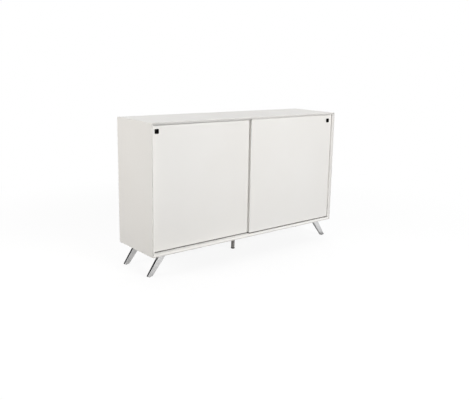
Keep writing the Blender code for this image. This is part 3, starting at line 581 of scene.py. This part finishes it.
def pile_strip(first, last, depth, high, low):
    """A strip of pile hanging from a narrow tape, from one x to another.

    Its section is a ring of (depth, height): the tape 3.4 mm wide, the pile 2.2 mm at its
    root and 1.8 mm at its tips. Along the strip both faces of the pile swell and shrink
    by a tenth of a millimetre as a sine of x, one tuft in 2.4 mm. Both ends close to a point.
    """
    along = np.linspace(first, last, int((last - first) / 0.0006))
    along = np.concatenate([[first, first], along, [last, last]])
    half = np.array([1.7, 1.7, 1.1, 0.9, -0.9, -1.1, -1.7, -1.7]) / 1000
    level = np.array([high, high - 0.0005, high - 0.0005, low, low, high - 0.0005, high - 0.0005, high])
    tufted = np.array([0, 0, 0.3, 1, -1, -0.3, 0, 0]) * 0.0001
    swell = np.sin(2 * math.pi * along / 0.0024)[:, None] * tufted[None, :]
    y = depth + half[None, :] + swell
    z = np.broadcast_to(level, y.shape).copy()
    for end in (0, -1):
        y[end] = depth
        z[end] = (high + low) / 2
    return np.stack([np.broadcast_to(along[:, None], y.shape), y, z], -1)[None]


# Painted shade: a dark grey pile stands in for the shade in the gap under each door.
pile = pile_fibre("gap_shade_pile", (0.130, 0.125, 0.116))
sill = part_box("lower_track")[1].z
black = soft_plastic("black_pull_plastic", (0.005, 0.0045, 0.004), 0.45, 800.0, 0.00003, 0.1)
housing = soft_plastic("grey_housing_plastic", (0.235, 0.235, 0.245), 0.44, 650.0, 0.00004)
guide = soft_plastic("white_guide_plastic", (0.745, 0.745, 0.730), 0.36, 700.0, 0.00003)
nylon = soft_plastic("roller_nylon", (0.735, 0.730, 0.690), 0.30, 500.0, 0.00002)
axle_steel = turned_steel("ground_axle_steel", (0.70, 0.70, 0.71), 0.16)
# Where the strip of painted shade sits under each door.
gap_shade_end_margin = 0.002
gap_shade_behind_face = 0.0026
gap_shade_above_sill = 0.0004
gap_shade_under_door = 0.00002
housing_screw = {"radius": 0.0036, "height": 0.0013, "shank": 0.55}
housing_screw_inset = 0.006
guide_screw = {"radius": 0.0029, "height": 0.0011, "shank": 0.4}
guide_screw_inset = 0.007
guide_screw_drop = 0.009
for side in ("left", "right"):
    door = side + "_door"
    door_low, door_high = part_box(door)
    pull_low, pull_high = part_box(door + "_pull")
    middle = (pull_low + pull_high) / 2
    dress(door, door_white(door + "_melamine", door_low, door_high, (middle.x, door_low.y, middle.z)))
    dress(door + "_pull", black)
    # The strip of painted shade fills the gap between the door and the lower track.
    strip = pile_strip(
        first=door_low.x + gap_shade_end_margin,
        last=door_high.x - gap_shade_end_margin,
        depth=door_low.y + gap_shade_behind_face,
        high=door_low.z - gap_shade_under_door,
        low=sill + gap_shade_above_sill,
    )
    surface(door + "_gap_shade_strip", strip, pile, door)
    for end in ("outer", "inner"):
        station = f"{door}_{end}"
        dress(station + "_roller_housing", housing)
        dress(station + "_axle", axle_steel)
        dress(station + "_roller", nylon)
        dress(station + "_top_guide", guide)
        low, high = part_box(station + "_roller_housing")
        centre = (low + high) / 2
        across = (low.x + housing_screw_inset, high.x - housing_screw_inset)
        heads = screws([(x, high.y, centre.z) for x in across], (0, 1, 0), **housing_screw)
        surface(station + "_housing_screws", heads, zinc, door)
        low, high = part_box(station + "_top_guide")
        across = (low.x + guide_screw_inset, high.x - guide_screw_inset)
        level = door_high.z - guide_screw_drop
        heads = screws([(x, high.y, level) for x in across], (0, 1, 0), **guide_screw)
        surface(station + "_guide_screws", heads, zinc, door)


# Studio
# A white sweep. The camera sees its white with a part of the cabinet's shadow, polished metal
# a light grey with a painted shadow beneath the cabinet, deeper to the right, and light itself
# a dark grey, so that little comes up from below.
def seen_by(tree, *kinds):
    """1 for rays of the given kinds, as Light Path names them."""
    path = tree.nodes.new("ShaderNodeLightPath")
    seen = Wire(tree, path.outputs[kinds[0]])
    for kind in kinds[1:]:
        seen = seen.maths("MAXIMUM", seen, Wire(tree, path.outputs[kind]))
    return seen


floor_white = bpy.data.materials.new("studio_floor")
floor_white.use_nodes = True
floor_tree = floor_white.node_tree
floor_shader = floor_tree.nodes["Principled BSDF"]
floor_place = Wire(floor_tree).node("TexCoord", {}, {}, 3)
direct = seen_by(floor_tree, "Is Camera Ray")
mirrored = seen_by(floor_tree, "Is Glossy Ray", "Is Transmission Ray")
speckle = floor_place.grain(40.0, 2.0).blend((0.96, 0.96, 0.96), (1.0, 1.0, 1.0))
across = floor_place.node("SeparateXYZ", {}, {"Vector": floor_place}, 0)
deep = floor_place.node("SeparateXYZ", {}, {"Vector": floor_place}, 1)
within_width = across.maths("ABSOLUTE", across).rise(0.96, 0.84)
within_depth = deep.maths("ABSOLUTE", deep).rise(0.24, 0.17)
beneath = within_width * within_depth
# Painted shadow: the floor that metal mirrors is painted darker beneath the cabinet, more so to the
# right.
painted_shadow = beneath * (0.15 + 0.85 * across.rise(-0.9, 0.8))
mirrored_open = (0.82, 0.82, 0.82)
mirrored_painted_shadow = (0.40, 0.395, 0.39)
bounced = (0.13, 0.128, 0.126)
unseen = mirrored.blend(bounced, painted_shadow.blend(mirrored_open, mirrored_painted_shadow))
paint = direct.blend(unseen, speckle)
apply_to(floor_shader, Base_Color=paint, Roughness=0.9, Specular_IOR_Level=0.0)
away = floor_place.node("VectorMath", {"operation": "LENGTH"}, {0: floor_place}, 1)
share = direct * (0.88 + 0.12 * away.rise(1.0, 3.0))
glow = floor_place.node("Emission", {}, {"Strength": 1.0})
floor_paint = Wire(floor_tree, floor_shader.outputs[0])
seen_floor = floor_place.node("MixShader", {}, {0: share, 1: floor_paint, 2: glow})
floor_tree.links.new(seen_floor.socket, floor_tree.nodes["Material Output"].inputs["Surface"])


def stage_card(name, corners, material):
    """A flat piece of the studio."""
    mesh = bpy.data.meshes.new(name)
    mesh.from_pydata(corners, [], [(0, 1, 2, 3)])
    mesh.materials.append(material)
    card = bpy.data.objects.new(name, mesh)
    bpy.context.scene.collection.objects.link(card)
    return card


reach = 30.0
ground = [(-reach, -reach, 0), (reach, -reach, 0), (reach, reach, 0), (-reach, reach, 0)]
stage_card("studio_floor", ground, floor_white)

# A dark card behind on the left that the camera doesn't see; the legs' outer faces mirror it.
felt, felt_shader, felt_place = finish_of("black_card")
tone = felt_place.grain(30.0, 2.0).blend((0.020, 0.020, 0.020), (0.032, 0.032, 0.032))
apply_to(felt_shader, Base_Color=tone, Roughness=0.9)
card_low, card_high = (-3.6, 2.2), (-1.35, 3.0)
upright = [(*card_low, 0.1), (*card_high, 0.1), (*card_high, 2.4), (*card_low, 2.4)]
stage_card("dark_card", upright, felt).visible_camera = False

# White all round to the eye and to metal. As light, the room is dim in front and on the left
# and bright behind and on the right, which fills the sides that no lamp reaches.
world = bpy.data.worlds.new("studio")
world.use_nodes = True
world_tree = world.node_tree
shown = seen_by(world_tree, "Is Camera Ray", "Is Glossy Ray", "Is Transmission Ray")
outlook = Wire(world_tree).node("TexCoord", {}, {}, 0)
facing = {0: outlook, 1: (0.7, 0.7, 0.0)}
behind = outlook.node("VectorMath", {"operation": "DOT_PRODUCT"}, facing, 1).rise(0.0, 0.8)
dim = 0.12
brighter = 1.15
level = shown + (1.0 - shown) * (dim + brighter * behind)
sky = outlook.node("Background", {}, {"Color": (1.0, 1.0, 1.0, 1.0), "Strength": level})
world_tree.links.new(sky.socket, world_tree.nodes["World Output"].inputs["Surface"])
bpy.context.scene.world = world


def softbox(name, place, aim, width, height, watts):
    """A rectangular studio light that faces a point, and that no surface mirrors."""
    lamp = bpy.data.lights.new(name, "AREA")
    lamp.shape = "RECTANGLE"
    lamp.size = width
    lamp.size_y = height
    lamp.energy = watts
    box = bpy.data.objects.new(name, lamp)
    box.location = place
    toward = np.subtract(aim, place)
    tilt = math.atan2(math.hypot(toward[0], toward[1]), -toward[2])
    box.rotation_euler = Euler((tilt, 0.0, math.atan2(-toward[0], toward[1])))
    box.visible_glossy = False
    bpy.context.scene.collection.objects.link(box)
    return box


softbox("key_softbox", (0.35, -4.6, 2.0), (0.1, -0.2, 0.8), 2.6, 0.8, 196.0)
side_light = softbox("side_softbox", (-3.2, 0.2, 1.35), (-0.8, 0.0, 0.5), 1.6, 1.0, 55.0)
side_light.data.color = (1.0, 0.984, 0.962)
softbox("top_left_softbox", (-1.2, 0.3, 3.3), (0.0, 0.2, 1.0), 2.4, 1.4, 6.5)
softbox("top_right_softbox", (2.4, 0.4, 2.6), (0.0, 0.2, 1.0), 2.4, 1.4, 17.0)

bpy.context.scene.view_settings.view_transform = "Standard"
